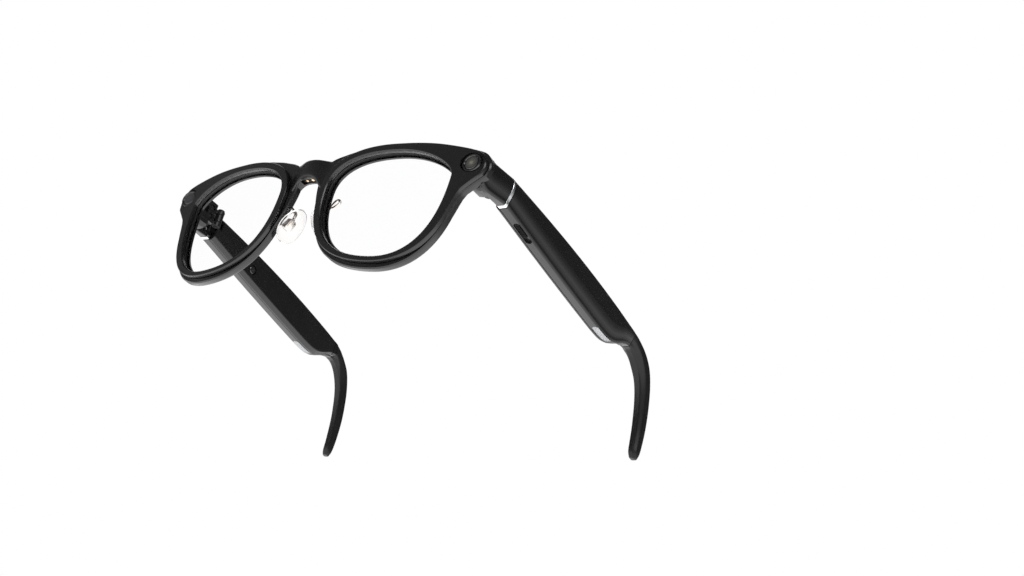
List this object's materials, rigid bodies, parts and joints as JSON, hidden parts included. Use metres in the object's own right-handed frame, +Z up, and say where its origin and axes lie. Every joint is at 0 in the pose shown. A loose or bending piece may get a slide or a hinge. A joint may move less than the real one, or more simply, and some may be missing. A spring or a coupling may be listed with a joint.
{
  "type": "smart glasses",
  "caption": "Spectacle frame with wrapped front plates, corner camera and light windows, folding temples that hold battery, speaker and boards, and wire-mounted nose pads.",
  "frame": {"origin": "middle of the flat charging face under the bridge, on the plane of symmetry", "axes": "+Z up along the front, front faces -Y, temples run back along +Y, +X towards the wearer's left"},
  "size_m": [0.1534, 0.1381, 0.0582],
  "materials": {
    "frame_satin_black": "satin moulded plastic",
    "plate_satin_black": "satin moulded plastic with polished bevels",
    "temple_satin_black": "satin moulded plastic",
    "clear_lens": "polished clear lens",
    "smoked_glass": "dark polished window",
    "gloss_black": "glossy ring",
    "clear_silicone": "soft clear silicone",
    "chrome_wire": "polished wire and screws",
    "hinge_steel": "machined steel",
    "silver_collar": "satin silver",
    "silver_mesh": "fine woven mesh",
    "gold_contact": "gold plated contact",
    "battery_wrap": "film wrap",
    "circuit_board": "solder resist",
    "chip_black": "moulded chip package",
    "led_white": "clear moulded emitter",
    "soft_black": "soft touch black"
  },
  "bodies": {
    "front": {"camera_barrel": "chip_black", "camera_board": "circuit_board", "camera_ring": "gloss_black", "camera_window": "smoked_glass", "charging_contact_left": "gold_contact", "charging_contact_right": "gold_contact", "contact_block": "soft_black", "front_frame": "frame_satin_black", "front_leaf_left": "hinge_steel", "front_leaf_right": "hinge_steel", "front_plate_left": "plate_satin_black", "front_plate_right": "plate_satin_black", "hinge_pin_left": "chrome_wire", "hinge_pin_right": "chrome_wire", "hinge_screw_lower_left": "chrome_wire", "hinge_screw_lower_right": "chrome_wire", "hinge_screw_upper_left": "chrome_wire", "hinge_screw_upper_right": "chrome_wire", "indicator_board": "circuit_board", "indicator_led": "led_white", "indicator_ring": "gloss_black", "indicator_window": "smoked_glass", "lens_left": "clear_lens", "lens_right": "clear_lens", "nose_pad_arm_left": "chrome_wire", "nose_pad_arm_right": "chrome_wire", "nose_pad_mount_left": "chrome_wire", "nose_pad_mount_right": "chrome_wire"},
    "left_temple": {"battery_left": "battery_wrap", "main_board": "circuit_board", "processor": "chip_black", "speaker_grille_left": "silver_mesh", "speaker_left": "chip_black", "temple_collar_left": "silver_collar", "temple_cover_left": "temple_satin_black", "temple_leaf_left": "hinge_steel", "temple_shell_left": "temple_satin_black", "temple_tip_left": "temple_satin_black", "tip_core_left": "hinge_steel"},
    "right_temple": {"battery_right": "battery_wrap", "power_board": "circuit_board", "speaker_grille_right": "silver_mesh", "speaker_right": "chip_black", "temple_collar_right": "silver_collar", "temple_cover_right": "temple_satin_black", "temple_leaf_right": "hinge_steel", "temple_shell_right": "temple_satin_black", "temple_tip_right": "temple_satin_black", "tip_core_right": "hinge_steel", "wear_sensor": "smoked_glass"},
    "power_slider": {"slide_switch": "soft_black"},
    "left_nose_pad": {"nose_pad_left": "clear_silicone"},
    "right_nose_pad": {"nose_pad_right": "clear_silicone"}
  },
  "joints": [
    {"name": "left_temple_fold", "type": "hinge", "parent": "front", "child": "left_temple", "pos_m": [0.0623, 0.0201, 0.003], "axis": [0, 0, 1], "range_deg": [0, 100]},
    {"name": "right_temple_fold", "type": "hinge", "parent": "front", "child": "right_temple", "pos_m": [-0.0623, 0.0201, 0.003], "axis": [0, 0, -1], "range_deg": [0, 90]},
    {"name": "power_slide", "type": "slide", "parent": "left_temple", "child": "power_slider", "axis": [0.0501, 0.9883, -0.144], "range_m": [0, 0.0024]},
    {"name": "left_pad_rock", "type": "hinge", "parent": "front", "child": "left_nose_pad", "pos_m": [0.0057, 0.0046, -0.01535], "axis": [-0.0344, 0.9804, -0.1942], "range_deg": [-6, 6]},
    {"name": "right_pad_rock", "type": "hinge", "parent": "front", "child": "right_nose_pad", "pos_m": [-0.0057, 0.0046, -0.01535], "axis": [-0.0344, -0.9804, 0.1942], "range_deg": [-6, 6]}
  ]
}
